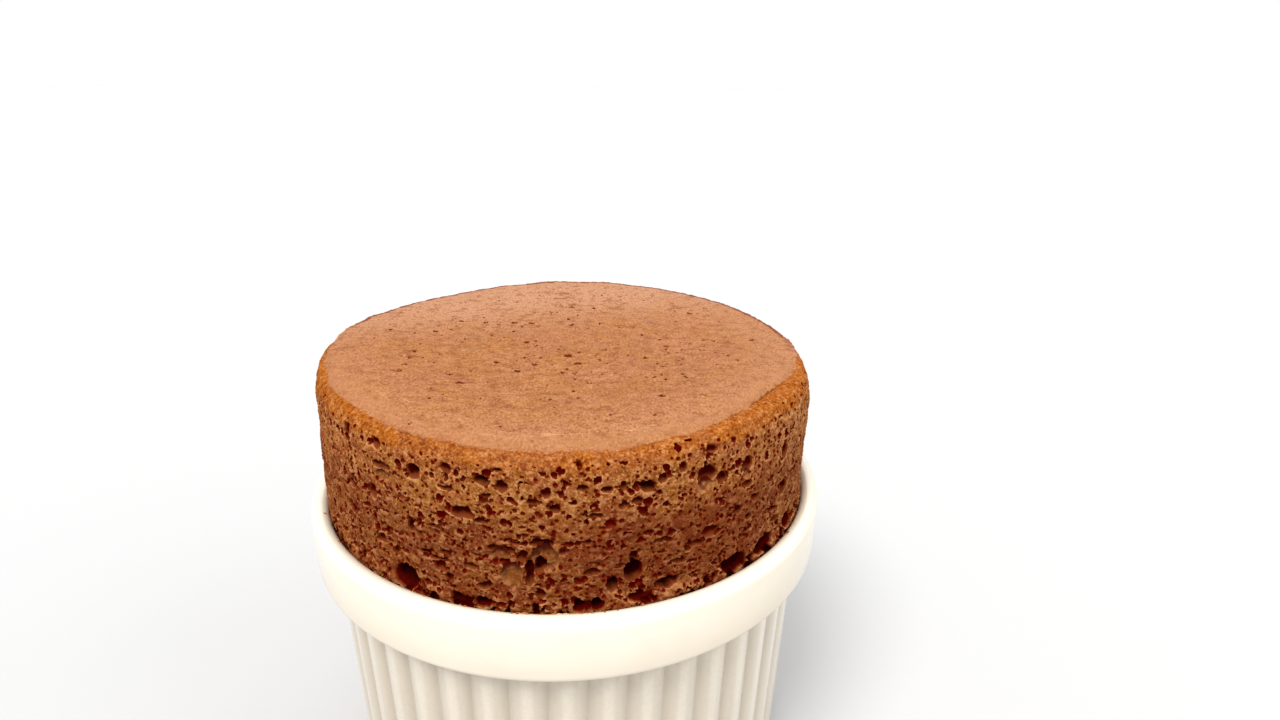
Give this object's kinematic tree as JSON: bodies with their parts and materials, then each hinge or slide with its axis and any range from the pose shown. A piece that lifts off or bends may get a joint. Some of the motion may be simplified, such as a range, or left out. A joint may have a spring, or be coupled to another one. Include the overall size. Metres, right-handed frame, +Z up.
{
  "type": "chocolate souffle",
  "caption": "Chocolate souffle risen straight above the rim of its white ribbed porcelain ramekin, with a level skin and an open, porous side.",
  "frame": {"origin": "centre of the ramekin's foot ring, on the surface that the dish stands on", "axes": "+Z up along the dish's axis; -Y is the side that faces the viewer"},
  "size_m": [0.09, 0.09, 0.0794],
  "materials": {
    "porcelain": "clear glaze over warm white porcelain",
    "chocolate_crumb": "open, moist baked crumb",
    "chocolate_skin": "satin baked skin"
  },
  "bodies": {
    "root": {"ramekin": "porcelain", "souffle": "chocolate_crumb"}
  },
  "joints": []
}
